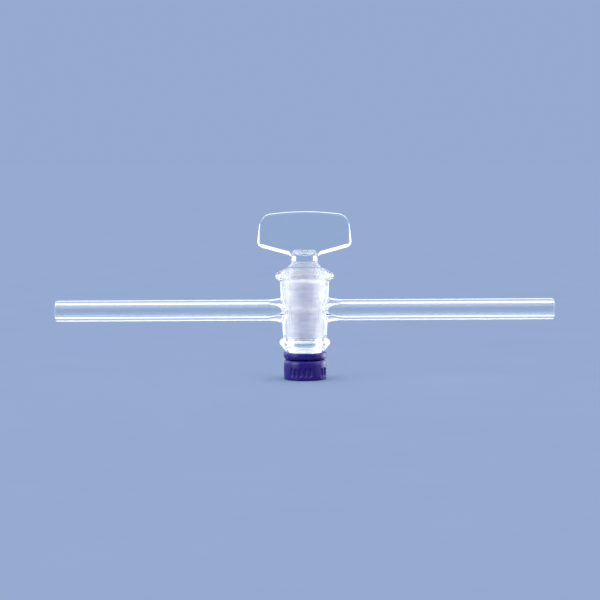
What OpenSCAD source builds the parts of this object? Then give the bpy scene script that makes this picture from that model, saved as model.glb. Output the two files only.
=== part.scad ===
// Glass stopcock on a straight tube. A solid glass key with a ground cone turns in
// a ground barrel, and its cross bore lines up with the two side tubes. A washer,
// an O-ring and a ribbed nut on the key's threaded shank keep the key seated.
// Frame: millimetres, +Z up along the key's axis, X along the side tubes, and the
// origin in the middle of the nut's flat foot.

/* [Side tubes] */
// Distance from the key's axis to each tube end
arm_reach = 95; // [60:1:150]
// Outside diameter of the side tubes
tube_od = 8; // [6:0.1:10]
// Wall of the side tubes
tube_wall = 1.5; // [0.8:0.05:2]
// Length over which each tube swells into the barrel
flare_length = 5.5; // [3:0.1:12]
// How far the tube's outside swells where it meets the barrel
flare_rise = 0.9; // [0.4:0.05:1.5]
// Rounding of the fire-polished tube ends
end_round = 0.35; // [0.1:0.05:0.6]

/* [Barrel] */
// Height of the barrel from its seat to its mouth
barrel_height = 32.4; // [26:0.1:44]
// Glass between the ground cone and the barrel's outside
barrel_wall = 3.4; // [2:0.05:5]
// Height of the side tubes' axis above the barrel's seat
arm_height = 16.1; // [13:0.1:20]
// How far the top collar stands out of the barrel
top_collar_reach = 1.8; // [1:0.05:3]
// Edge radius of the top collar
top_collar_round = 1.3; // [0.8:0.05:1.6]
// Distance of the top collar's widest ring below the mouth
top_collar_drop = 3.25; // [2.5:0.05:5]
// How far the bottom collar stands out of the barrel
bottom_collar_reach = 1.5; // [0.5:0.05:2.5]
// Edge radius of the bottom collar
bottom_collar_round = 1.75; // [1:0.05:2.2]
// Height of the bottom collar's widest ring above the seat
bottom_collar_lift = 3.6; // [3:0.05:5]
// Width of the flat seat round the barrel's lower end
seat_width = 1.7; // [1:0.05:2.4]
// Height of the clear relief below the ground bore
relief_height = 4.5; // [2:0.1:7]
// How far the relief stands back from the ground bore
relief_step = 0.35; // [0.1:0.05:0.8]
// Depth of the rounded mouth above the ground bore
mouth_depth = 0.9; // [0.5:0.05:1.5]

/* [Key] */
// Diameter at the large end of the ground cone
cone_d = 12.5; // [9:0.1:18]
// Length of cone for each millimetre of change in diameter
cone_ratio = 10; // [8:0.5:14]
// Diameter of the cross bore through the key
port_d = 2.5; // [1:0.1:4]
// Gap between the key's cone and the barrel, on the radius
cone_clearance = 0.05; // [0.02:0.01:0.1]
// Height of the cone's small end above the barrel's seat
cone_end_lift = 2.2; // [1:0.1:4]
// Height of the cone's clear, unground end
clear_end = 3.8; // [1:0.1:6]
// How far the unground end stands back from the ground cone
clear_step = 0.12; // [0.05:0.01:0.4]
// Rounding of the key's shoulder
shoulder_round = 1; // [0.5:0.05:1.5]
// Height of the shoulder's edge above the barrel's mouth
shoulder_rise = 0.1; // [0:0.05:1]
// Diameter of the neck below the handle
neck_d = 9.9; // [8:0.1:11]
// Fillet between the neck and the shoulder
neck_fillet = 1.8; // [1:0.05:3]
// Height of the neck's top above the barrel's mouth
neck_rise = 3.6; // [3:0.05:8]

/* [Handle] */
// Width of the flat handle at its widest
handle_width = 35.8; // [26:0.1:50]
// Height of the handle above the neck
handle_height = 17.75; // [14:0.05:26]
// Thickness of the handle
handle_thickness = 4.6; // [3.5:0.1:7]
// Radius of the handle's upper corners
handle_corner = 4.9; // [3.5:0.1:7]
// Rounding of the handle's upper and side edges
handle_edge = 1.3; // [0.6:0.05:1.6]
// How far the sides lean in from the heels to the upper corners
handle_lean = 0.7; // [0:0.05:3]
// Rise of the arched top edge from its corners to its middle
handle_crown = 0.8; // [0.1:0.05:2]
// Height of the handle's heels above the neck
heel_rise = 6.2; // [4:0.05:8]
// Height of the blade's lower edge above the neck, at the middle
blade_lift = 0.3; // [0:0.05:1.5]

/* [Shank and keeper] */
// Diameter of the key's threaded shank, over the thread
shank_d = 7; // [5:0.1:8]
// Depth of the flat along one side of the shank
shank_flat = 0.7; // [0.3:0.05:1.2]
// Depth of the shank's end inside the nut's foot
shank_recess = 0.6; // [0.2:0.05:2]
// Gap between the shank and the nut's thread, on the radius
thread_clearance = 0.05; // [0.02:0.01:0.1]
// Gap between the shank and the washer, on the radius
washer_clearance = 0.08; // [0.02:0.01:0.1]
// Diameter of the washer
washer_d = 16.3; // [14.5:0.1:24]
// Thickness of the washer
washer_thickness = 2.6; // [1.2:0.05:4]
// Thickness of the O-ring's cord before it is squeezed
ring_cord = 1.78; // [1.2:0.01:2.2]
// Height that the O-ring is squeezed to
ring_squeezed = 1.6; // [1:0.05:2]
// Gap round the O-ring, to the shank and to the nut
ring_clearance = 0.3; // [0.1:0.05:0.5]
// Gap left between the nut's top and the washer
nut_gap = 0.2; // [0.1:0.05:0.5]

/* [Nut] */
// Diameter of the nut
nut_d = 16.2; // [15:0.1:24]
// Height of the nut
nut_height = 7.6; // [6:0.1:12]
// Height of the nut's rounded shoulder
nut_shoulder = 1.5; // [0.8:0.05:2]
// How far the shoulder draws in at the nut's top
nut_draw = 0.95; // [0.4:0.05:1.1]
// Bevel round the nut's foot and at the thread's mouth
nut_bevel = 0.3; // [0.1:0.05:0.5]
// Number of plain pads round the nut
grip_groups = 4; // [2:1:6]
// Number of finger flutes between two pads
flutes_in_group = 5; // [2:1:6]
// Angle from one flute to the next
flute_pitch = 13; // [9:0.5:14]
// Radius of the round cutter that leaves each flute
flute_radius = 1; // [0.6:0.05:1.2]
// Depth of each flute
flute_depth = 0.45; // [0.2:0.05:0.8]
// Height of the lower end of the flutes above the foot
flute_start = 1; // [0.6:0.05:2]
// Height of the upper end of the flutes above the foot
flute_end = 5.1; // [4:0.05:6]
// Angle of the first group's middle, from the front towards the right
grip_turn = -12.5; // [-45:0.5:45]

/* [Hidden] */
$fn = 96;

// How far cutters run past the faces that they cut
over = 1;
// Steps along a rounded corner of a turned outline
arc_steps = 8;
// Steps round the faceted balls and rings that the handle is hulled from
ball_fn = 32;

tube_r = tube_od / 2;
tube_bore_r = tube_r - tube_wall;
port_r = port_d / 2;
neck_r = neck_d / 2;
shank_r = shank_d / 2;
nut_r = nut_d / 2;
washer_r = washer_d / 2;

// Heights of the stack, from the foot up
ring_z = nut_height + nut_gap - ring_squeezed;
washer_z = nut_height + nut_gap;
seat_z = washer_z + washer_thickness;
mouth_z = seat_z + barrel_height;
arm_z = seat_z + arm_height;
cone_top_z = mouth_z - mouth_depth;
cone_end_z = seat_z + cone_end_lift;
handle_z = mouth_z + neck_rise;
handle_top_z = handle_z + handle_height;

// Radii that follow the cone
function cone_r(z) = cone_d / 2 - (cone_top_z - z) / (2 * cone_ratio);
function bore_r(z) = cone_r(z) + cone_clearance;
function body_r(z) = cone_r(z) + barrel_wall;

// Points of an arc about [x, y] from one angle to another
function arc(x, y, r, from, to, steps = arc_steps) =
    [for (i = [0:steps]) let (a = from + (to - from) * i / steps) [x + r * cos(a), y + r * sin(a)]];

// Turns an outline of [radius, height] points about Z
module turned(outline) {
    rotate_extrude()
        polygon(outline);
}

// Turns an outline of [radius, distance] points about X, towards +X or -X
module turned_along_x(outline, side) {
    translate([0, 0, arm_z])
        rotate([0, side * 90, 0])
            turned(outline);
}

// ---- Barrel and side tubes ----

relief_z = seat_z + relief_height;
relief_r = bore_r(relief_z) + relief_step;
seat_r = relief_r + seat_width;
bottom_bead_z = seat_z + bottom_collar_lift;
bottom_bead_r = body_r(bottom_bead_z) + bottom_collar_reach - bottom_collar_round;
bottom_crease_z = bottom_bead_z + 1.15 * bottom_collar_round;
top_bead_z = mouth_z - top_collar_drop;
top_bead_r = body_r(top_bead_z) + top_collar_reach - top_collar_round;
top_crease_z = top_bead_z - 1.7 * top_collar_round;
// Slope of the top collar's upper face, and the rounding of the mouth's lip
collar_slope = 30;
lip_round = 0.4;
lip_r = bore_r(cone_top_z) + lip_round;
body_x = body_r(arm_z);
root_x = body_x - barrel_wall / 2;
flare_x = body_x + flare_length;

barrel_outline = concat(
    [[relief_r, seat_z], [seat_r, seat_z]],
    arc(bottom_bead_r, bottom_bead_z, bottom_collar_round, -48, 68),
    [[body_r(bottom_crease_z), bottom_crease_z], [body_r(top_crease_z), top_crease_z]],
    arc(top_bead_r, top_bead_z, top_collar_round, -75, 90 - collar_slope),
    arc(lip_r, mouth_z - lip_round, lip_round, 90 - collar_slope, 180, 4),
    [[bore_r(cone_top_z), cone_top_z], [bore_r(relief_z), relief_z], [relief_r, relief_z]]
);

// Radius of the arc that swells the tube into the barrel, and the angle it sweeps
flare_r = (flare_length * flare_length + flare_rise * flare_rise) / (2 * flare_rise);
flare_sweep = asin(flare_length / flare_r);
root_outline = concat(
    [[0, root_x], [tube_r + flare_rise, root_x]],
    arc(tube_r + flare_r, flare_x, flare_r, 180 + flare_sweep, 180),
    [[0, flare_x]]
);
// The way in narrows from the tube's full bore to the port
inlet_outline = [
    [0, 0], [port_r, 0], [port_r, bore_r(arm_z)], [tube_bore_r, flare_x],
    [tube_bore_r, flare_x + over], [0, flare_x + over]
];
tube_outline = concat(
    [[tube_bore_r, flare_x], [tube_r, flare_x]],
    arc(tube_r - end_round, arm_reach - end_round, end_round, 0, 90, 4),
    arc(tube_bore_r + end_round, arm_reach - end_round, end_round, 90, 180, 4)
);

// Barrel with the swollen roots that its two side tubes are fused to
module barrel() {
    color([0.83, 0.93, 0.96, 0.5])
        difference() {
            union() {
                turned(barrel_outline);
                for (side = [-1, 1])
                    turned_along_x(root_outline, side);
            }
            for (side = [-1, 1])
                turned_along_x(inlet_outline, side);
        }
}

module left_tube() {
    color([0.80, 0.92, 0.97, 0.5])
        turned_along_x(tube_outline, -1);
}

module right_tube() {
    color([0.80, 0.92, 0.97, 0.5])
        turned_along_x(tube_outline, 1);
}

// ---- Key ----

ground_z = cone_end_z + clear_end;
shoulder_z = mouth_z + shoulder_rise;
shoulder_r = cone_r(cone_top_z) - shoulder_round;
neck_start_z = shoulder_z + 2.4 * shoulder_round;
// Rounding of the cone's small end and bevel of the shank's tip
cone_end_round = 0.4;
tip_bevel = 0.3;

key_outline = concat(
    [[0, shank_recess], [shank_r - tip_bevel, shank_recess], [shank_r, shank_recess + tip_bevel]],
    [[shank_r, cone_end_z]],
    arc(cone_r(cone_end_z) - clear_step - cone_end_round, cone_end_z + cone_end_round,
        cone_end_round, -90, 0, 4),
    [[cone_r(ground_z) - clear_step, ground_z], [cone_r(ground_z), ground_z]],
    [[cone_r(cone_top_z), cone_top_z]],
    arc(shoulder_r, shoulder_z, shoulder_round, 0, 42),
    arc(neck_r + neck_fillet, neck_start_z, neck_fillet, 222, 180),
    [[neck_r, handle_z], [0, handle_z]]
);

heel_r = handle_thickness / 2;
heel_x = handle_width / 2 - heel_r;
heel_z = handle_z + heel_rise;
corner_x = handle_width / 2 - handle_lean - handle_corner;
corner_z = handle_top_z - handle_crown - handle_corner;
face_y = handle_thickness / 2 - handle_edge;
// Places along the arched top edge, as shares of the way to the upper corners
crown_steps = [-0.75, -0.5, -0.25, 0, 0.25, 0.5, 0.75];

// Flat handle: full round edge below, smaller rounding above and at the sides
module handle_blade() {
    hull() {
        for (side = [-1, 1]) {
            translate([side * heel_x, 0, heel_z])
                sphere(heel_r, $fn = ball_fn);
            translate([side * neck_r / 2, 0, handle_z + heel_r + blade_lift])
                sphere(heel_r, $fn = ball_fn);
            for (face = [-1, 1])
                translate([side * corner_x, face * face_y, corner_z])
                    rotate([90, 0, 0])
                        rotate_extrude($fn = 2 * ball_fn)
                            translate([handle_corner - handle_edge, 0])
                                circle(handle_edge, $fn = ball_fn / 2);
        }
        for (face = [-1, 1])
            for (share = crown_steps)
                translate([share * corner_x, face * face_y,
                           handle_top_z - handle_edge - handle_crown * share * share])
                    sphere(handle_edge, $fn = ball_fn);
    }
}

// Solid root that carries the round neck over into the flat blade
root_rise = 3.6;
root_spread = 5.2;
module handle_root() {
    hull() {
        translate([0, 0, handle_z - 1])
            cylinder(r = neck_r, h = 1, $fn = 2 * ball_fn);
        for (side = [-1, 1])
            translate([side * root_spread, 0, handle_z + root_rise])
                sphere(heel_r, $fn = ball_fn);
    }
}

module key() {
    color([0.86, 0.92, 0.98, 0.5])
        difference() {
            union() {
                turned(key_outline);
                handle_blade();
                handle_root();
            }
            translate([-cone_d, 0, arm_z])
                rotate([0, 90, 0])
                    cylinder(r = port_r, h = 2 * cone_d);
            translate([shank_r - shank_flat, -shank_d, shank_recess - over])
                cube([shank_d, 2 * shank_d, cone_end_z - shank_recess + over]);
        }
}

// ---- Keeper ----

washer_edge_top = 0.5;
washer_edge_bottom = 1;
ring_r = shank_r + ring_clearance + ring_cord / 2;
ring_bed_r = ring_r + ring_cord / 2 + ring_clearance;

// Washer with a hole that has a flat, so that it turns with the key
module washer() {
    color([0.15, 0.06, 0.45])
        difference() {
            turned(concat(
                [[0, washer_z]],
                arc(washer_r - washer_edge_bottom, washer_z + washer_edge_bottom,
                    washer_edge_bottom, -90, 0),
                arc(washer_r - washer_edge_top, seat_z - washer_edge_top, washer_edge_top, 0, 90, 4),
                [[0, seat_z]]
            ));
            difference() {
                translate([0, 0, washer_z - over])
                    cylinder(r = shank_r + washer_clearance, h = washer_thickness + 2 * over);
                translate([shank_r - shank_flat + washer_clearance, -shank_d, washer_z - 2 * over])
                    cube([shank_d, 2 * shank_d, washer_thickness + 4 * over]);
            }
        }
}

// O-ring squeezed flat between the washer and the bottom of its bed in the nut
module o_ring() {
    color([0.05, 0.05, 0.06])
        translate([0, 0, ring_z + ring_squeezed / 2])
            rotate_extrude()
                translate([ring_r, 0])
                    intersection() {
                        circle(d = ring_cord, $fn = 48);
                        square([2 * ring_cord, ring_squeezed], center = true);
                    }
}

thread_r = shank_r + thread_clearance;
nut_outline = concat(
    [[thread_r + nut_bevel, 0], [nut_r - nut_bevel, 0], [nut_r, nut_bevel]],
    [for (i = [0:arc_steps]) let (a = 90 * i / arc_steps)
        [nut_r - nut_draw + nut_draw * cos(a), nut_height - nut_shoulder + nut_shoulder * sin(a)]],
    [[ring_bed_r, nut_height], [ring_bed_r, ring_z], [thread_r, ring_z], [thread_r, nut_bevel]]
);

// Round-ended cutter for one finger flute
module flute_cutter() {
    rotate_extrude()
        intersection() {
            union() {
                for (z = [flute_start + flute_radius, flute_end - flute_radius])
                    translate([0, z])
                        circle(flute_radius);
                translate([-flute_radius, flute_start + flute_radius])
                    square([2 * flute_radius, flute_end - flute_start - 2 * flute_radius]);
            }
            translate([0, flute_start])
                square([flute_radius, flute_end - flute_start]);
        }
}

module retaining_nut() {
    color([0.12, 0.05, 0.42])
        difference() {
            turned(nut_outline);
            for (group = [0:grip_groups - 1])
                for (i = [0:flutes_in_group - 1])
                    rotate(-90 + grip_turn + 360 * group / grip_groups
                           + (i - (flutes_in_group - 1) / 2) * flute_pitch)
                        translate([nut_r + flute_radius - flute_depth, 0, 0])
                            flute_cutter();
        }
}

barrel();
left_tube();
right_tube();
key();
washer();
o_ring();
retaining_nut();
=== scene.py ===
"""Looks of a glass stopcock: tubes and barrel, ground key with a flat handle, keeper."""
import logging
import math
from collections import Counter
from dataclasses import dataclass, field
from enum import Enum
from typing import Callable, Optional, Sequence

import bmesh
import bpy
import numpy as np
from mathutils import Matrix, Vector


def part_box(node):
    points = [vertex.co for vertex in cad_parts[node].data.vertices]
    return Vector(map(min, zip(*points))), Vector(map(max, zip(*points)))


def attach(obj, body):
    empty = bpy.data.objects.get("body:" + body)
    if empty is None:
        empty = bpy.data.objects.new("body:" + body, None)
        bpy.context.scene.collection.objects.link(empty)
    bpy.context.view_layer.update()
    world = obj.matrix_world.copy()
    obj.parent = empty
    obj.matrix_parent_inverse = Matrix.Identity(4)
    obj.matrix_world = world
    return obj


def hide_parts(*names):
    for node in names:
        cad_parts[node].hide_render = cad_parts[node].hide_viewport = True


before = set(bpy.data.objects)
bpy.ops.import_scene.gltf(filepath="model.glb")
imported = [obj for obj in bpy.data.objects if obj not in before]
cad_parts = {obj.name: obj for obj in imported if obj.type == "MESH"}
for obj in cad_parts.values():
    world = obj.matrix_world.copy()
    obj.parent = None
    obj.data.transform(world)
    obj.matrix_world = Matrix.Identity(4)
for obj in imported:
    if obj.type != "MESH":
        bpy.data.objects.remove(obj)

LOG = logging.getLogger("stopcock")
MM = 0.001
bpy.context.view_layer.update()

PORT_WINDOW = 17.5  # half angle of the windows round the cross bore, in degrees
FLAT_REACH = 0.3  # a flat bounds its circle while the angle's cosine is over this

Point2 = tuple[float, float]
Point3 = tuple[float, float, float]
Radius = Callable[[float], float]
Shape = Callable[[float, float, float], float]
Socket = bpy.types.NodeSocket


class Side(Enum):
    """The two sides of the barrel that carry a tube."""

    RIGHT = 1
    LEFT = -1


class Slot(Enum):
    """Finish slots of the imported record."""

    BARREL = "barrel_glass"
    KEY = "key_glass"
    WASHER = "keeper_washer"
    NUT = "keeper_nut"
    SEAL = "seal_rubber"


# ---------------------------------------------------------------- outlines

def arc(centre: Point2, radius: float, start: float, stop: float, steps: int) -> list[Point2]:
    """Points along a circular arc.

    Args:
        centre: Middle of the arc, as (radius from the axis, height).
        radius: Radius of the arc.
        start: First angle in degrees.
        stop: Last angle in degrees.
        steps: Number of spans.

    Returns:
        The points, ends included.
    """
    angles = [math.radians(start + (stop - start) * i / steps) for i in range(steps + 1)]
    return [(centre[0] + radius * math.cos(a), centre[1] + radius * math.sin(a)) for a in angles]


def softened(points: Sequence[Point2], reach: float, turn: float = 14.0,
             steps: int = 4) -> list[Point2]:
    """An outline whose corners are melted round, as a flame leaves them.

    Args:
        points: The outline, open at both ends.
        reach: How far along each side a corner is rounded.
        turn: Corners that turn less than this many degrees stay.
        steps: Number of spans for each rounded corner.

    Returns:
        The new outline.
    """
    out = [points[0]]
    for before, corner, after in zip(points, points[1:], points[2:]):
        a, c, b = (np.array(p, float) for p in (before, corner, after))
        u, v = a - c, b - c
        lu, lv = np.linalg.norm(u), np.linalg.norm(v)
        bend = 180 - math.degrees(math.acos(np.clip(u @ v / (lu * lv), -1, 1)))
        if bend < turn:
            out.append(corner)
            continue
        cut = min(reach, 0.45 * lu, 0.45 * lv)
        first, last = c + u / lu * cut, c + v / lv * cut
        for i in range(steps + 1):
            t = i / steps
            p = (1 - t) ** 2 * first + 2 * t * (1 - t) * c + t * t * last
            out.append((float(p[0]), float(p[1])))
    return out + [points[-1]]


def clamped(value: float) -> float:
    """The value, kept from 0 to 1."""
    return min(1.0, max(0.0, value))


def ring_turn(number: int, spans: int) -> float:
    """Angle of one point of a hole's ring, counted from its low corner on the -Y side."""
    return math.radians(-135 + 90 * number / spans)


def groove(z: float, turn: float, pitch: float) -> float:
    """Depth of a screw thread's groove at a height and an angle, from 0 to 1."""
    phase = (z / pitch - turn / (2 * math.pi)) % 1.0
    return clamped(1.25 - 1.5 * (1 - abs(2 * phase - 1)))


def flattened(radius: float, flat: float, turn: float) -> float:
    """Radius of a circle with one flat on the +X side, at an angle."""
    return min(radius, flat / math.cos(turn)) if math.cos(turn) > FLAT_REACH else radius


# ---------------------------------------------------------------- surfaces

def placed(mesh: bpy.types.Mesh, crease: float) -> bpy.types.Object:
    """Shades a mesh smooth and puts it in the scene under its own name.

    Args:
        mesh: The mesh.
        crease: Edges that turn more than this many degrees stay sharp.

    Returns:
        The object.
    """
    mesh.shade_smooth()
    mesh.set_sharp_from_angle(angle=math.radians(crease))
    made = bpy.data.objects.new(mesh.name, mesh)
    bpy.context.scene.collection.objects.link(made)
    LOG.info("%s: %d faces", made.name, len(mesh.polygons))
    return made


class Skin:
    """One closed surface, gathered ring by ring in millimetres."""

    def __init__(self) -> None:
        """Starts with nothing in it."""
        self.points: list[tuple[float, float, float]] = []
        self.faces: list[tuple[int, ...]] = []

    def ring(self, points: Sequence[Sequence[float]]) -> list[int]:
        """Adds points.

        Args:
            points: Their places.

        Returns:
            Their numbers.
        """
        first = len(self.points)
        self.points += [tuple(float(c) for c in p) for p in points]
        return list(range(first, len(self.points)))

    def loft(self, one: Sequence[int], two: Sequence[int]) -> None:
        """Joins two closed rings of the same count with quads.

        Args:
            one: First ring.
            two: Second ring.
        """
        n = len(one)
        for i in range(n):
            j = (i + 1) % n
            self.faces.append((one[i], one[j], two[j], two[i]))

    def cap(self, ring: Sequence[int], centre: Sequence[float]) -> None:
        """Closes a ring with a fan about a point.

        Args:
            ring: The ring.
            centre: The point.
        """
        middle = self.ring([centre])[0]
        n = len(ring)
        self.faces += [(ring[i], ring[(i + 1) % n], middle) for i in range(n)]

    def zipped(self, one: Sequence[int], two: Sequence[int]) -> None:
        """Joins two rings of any counts about Z with triangles.

        Args:
            one: Lower ring.
            two: Upper ring.
        """
        def turned(ring: Sequence[int]) -> list[tuple[float, int]]:
            """Point numbers sorted by their angle about Z."""
            return sorted((math.atan2(self.points[i][1], self.points[i][0]), i) for i in ring)

        a, b = turned(one), turned(two)
        i = j = 0
        while i < len(a) or j < len(b):
            at = a[i % len(a)][0] + (2 * math.pi if i >= len(a) else 0)
            bt = b[j % len(b)][0] + (2 * math.pi if j >= len(b) else 0)
            if j >= len(b) or (i < len(a) and at <= bt):
                self.faces.append((a[i % len(a)][1], a[(i + 1) % len(a)][1], b[j % len(b)][1]))
                i += 1
            else:
                self.faces.append((a[i % len(a)][1], b[(j + 1) % len(b)][1], b[j % len(b)][1]))
                j += 1

    def piece(self, name: str, crease: float = 32.0) -> bpy.types.Object:
        """Makes the closed mesh object, in metres.

        Args:
            name: Name of the new object.
            crease: Edges that turn more than this many degrees stay sharp.

        Returns:
            The object, linked to the scene.
        """
        mesh = bpy.data.meshes.new(name)
        mesh.from_pydata([tuple(c * MM for c in p) for p in self.points], [], self.faces)
        work = bmesh.new()
        work.from_mesh(mesh)
        bmesh.ops.remove_doubles(work, verts=work.verts, dist=2e-7)
        bmesh.ops.dissolve_degenerate(work, dist=1e-7, edges=work.edges)
        bmesh.ops.recalc_face_normals(work, faces=work.faces)
        open_edges = sum(1 for e in work.edges if not e.is_manifold)
        work.to_mesh(mesh)
        work.free()
        LOG.info("%s: %d open edges", name, open_edges)
        return placed(mesh, crease)


@dataclass
class Wheel:
    """Angles of the columns about Z, finer over two windows on the X axis."""

    half_window: float
    window_spans: int
    plain_spans: int

    def angles(self) -> np.ndarray:
        """Lays out the columns.

        Returns:
            Angles in radians, from the right window's first edge round to it again.
        """
        half = math.radians(self.half_window)
        window = np.linspace(-half, half, self.window_spans + 1)[:-1]
        plain = np.linspace(half, math.pi - half, self.plain_spans + 1)[:-1]
        right = np.concatenate([window, plain])
        return np.concatenate([right, right + math.pi])

    def window(self, side: Side) -> range:
        """Numbers of the column spans inside one side's window."""
        first = 0 if side is Side.RIGHT else self.window_spans + self.plain_spans
        return range(first, first + self.window_spans)


@dataclass
class Hole:
    """A round hole through a turned wall, on the X axis at one height."""

    height: float
    radius: float
    half_rows: float
    rings: int = 3


class Lathe:
    """A turned wall of rows and columns, with a round hole in each window."""

    def __init__(self, skin: Skin) -> None:
        """Keeps the skin that the wall is added to."""
        self.skin = skin

    def row(self, point: Point2, angles: np.ndarray, shape: Optional[Shape] = None) -> list[int]:
        """Adds one row about Z.

        Args:
            point: Radius and height of the row.
            angles: Column angles in radians.
            shape: Gives the true radius from radius, height and angle.

        Returns:
            The row's point numbers.
        """
        r, z = point
        radii = [shape(r, z, a) if shape else r for a in angles]
        return self.skin.ring([
            (q * math.cos(a), q * math.sin(a), z) for q, a in zip(radii, angles)])

    def pierced(self, wheel: Wheel, radius: Radius,
                hole: Hole) -> tuple[list[int], list[int], dict[Side, list[int]]]:
        """Adds a wall with one round hole on each side.

        Args:
            wheel: Columns of the wall.
            radius: Radius of the wall at a height.
            hole: The hole and the height of its window.

        Returns:
            The lowest row, the highest row, and each side's hole as a closed ring that starts
            low on the -Y side and runs the same way round on both sides.
        """
        n = wheel.window_spans
        angles = wheel.angles()
        low_z, high_z = hole.height - hole.half_rows, hole.height + hole.half_rows
        heights = np.linspace(low_z, high_z, n + 1)
        rows = [self.row((radius(z), z), angles) for z in heights]
        count = len(angles)
        blocked = set(wheel.window(Side.RIGHT)) | set(wheel.window(Side.LEFT))
        for low, high in zip(rows, rows[1:]):
            for c in range(count):
                if c not in blocked:
                    d = (c + 1) % count
                    self.skin.faces.append((low[c], low[d], high[d], high[c]))
        mouths = {}
        for side in Side:
            columns = [c % count for c in (*wheel.window(side), wheel.window(side)[-1] + 1)]
            if side is Side.LEFT:
                columns = columns[::-1]  # so that both run from -Y to +Y
            edge = [rows[0][c] for c in columns[:-1]]
            edge += [row[columns[-1]] for row in rows[:-1]]
            edge += [rows[-1][c] for c in columns[:0:-1]]
            edge += [row[columns[0]] for row in rows[:0:-1]]
            last = edge
            for k in range(1, hole.rings + 1):
                t = k / hole.rings
                points = []
                for i, number in enumerate(edge):
                    _, y, z = self.skin.points[number]
                    turn = ring_turn(i, n)
                    y = y + (hole.radius * math.cos(turn) - y) * t
                    z = z + (hole.height + hole.radius * math.sin(turn) - z) * t
                    points.append((side.value * math.sqrt(radius(z) ** 2 - y * y), y, z))
                ring = self.skin.ring(points)
                self.skin.loft(last, ring)
                last = ring
            mouths[side] = last
        return rows[0], rows[-1], mouths

    def along_x(self, profile: Sequence[Point2], height: float, side: Side,
                spans: int) -> list[list[int]]:
        """Adds rings about the X axis, in step with a pierced wall's holes.

        Args:
            profile: Points of (distance from the Z axis, radius).
            height: Height of the X axis.
            side: The side that the rings lie on.
            spans: Spans along one edge of the window, a quarter of a ring.

        Returns:
            The rings' point numbers.
        """
        out = []
        for x, r in profile:
            turns = [ring_turn(i, spans) for i in range(4 * spans)]
            out.append(self.skin.ring([
                (side.value * x, r * math.cos(t), height + r * math.sin(t)) for t in turns]))
        return out

    def chain(self, rings: Sequence[Sequence[int]]) -> None:
        """Joins each ring to the next."""
        for one, two in zip(rings, rings[1:]):
            self.skin.loft(one, two)


# ---------------------------------------------------------------- sizes

@dataclass
class Layout:
    """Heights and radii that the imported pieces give, in millimetres."""

    seat: float
    mouth: float
    axis: float
    reach: float
    tube_start: float
    tube_radius: float
    handle_top: float
    handle_half: float
    shank_end: float
    washer_low: float
    washer_radius: float
    nut_top: float
    nut_radius: float
    ring_low: float
    ring_high: float
    ring_radius: float

    @classmethod
    def from_frame(cls) -> "Layout":
        """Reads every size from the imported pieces' boxes.

        Returns:
            The sizes.
        """
        tube, barrel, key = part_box("right_tube"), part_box("barrel"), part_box("key")
        washer, nut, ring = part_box("washer"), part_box("retaining_nut"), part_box("o_ring")
        mm = {
            "seat": barrel[0].z, "mouth": barrel[1].z, "axis": (tube[0].z + tube[1].z) / 2,
            "reach": tube[1].x, "tube_start": tube[0].x,
            "tube_radius": (tube[1].z - tube[0].z) / 2,
            "handle_top": key[1].z, "handle_half": key[1].x, "shank_end": key[0].z,
            "washer_low": washer[0].z, "washer_radius": washer[1].x,
            "nut_top": nut[1].z, "nut_radius": nut[1].x,
            "ring_low": ring[0].z, "ring_high": ring[1].z, "ring_radius": ring[1].x,
        }
        return cls(**{k: round(float(v) / MM, 3) for k, v in mm.items()})


@dataclass
class GroundFit:
    """The ground cone that the key and the barrel share."""

    layout: Layout
    large_radius: float = 6.25
    top_drop: float = 0.9
    taper: float = 0.05
    clearance: float = 0.05
    wall: float = 3.4
    port: float = 1.25
    port_rows: float = 1.66

    @property
    def top(self) -> float:
        """Height of the cone's large end."""
        return self.layout.mouth - self.top_drop

    def cone(self, z: float) -> float:
        """Radius of the key's cone at a height."""
        return self.large_radius - (self.top - z) * self.taper

    def bore(self, z: float) -> float:
        """Radius of the barrel's bore at a height."""
        return self.cone(z) + self.clearance

    def body(self, z: float) -> float:
        """Radius of the barrel's outside at a height."""
        return self.cone(z) + self.wall

    def port_hole(self) -> Hole:
        """Where the cross bore pierces the cone."""
        return Hole(self.layout.axis, self.port, self.port_rows)


# ---------------------------------------------------------------- shader helpers

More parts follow.
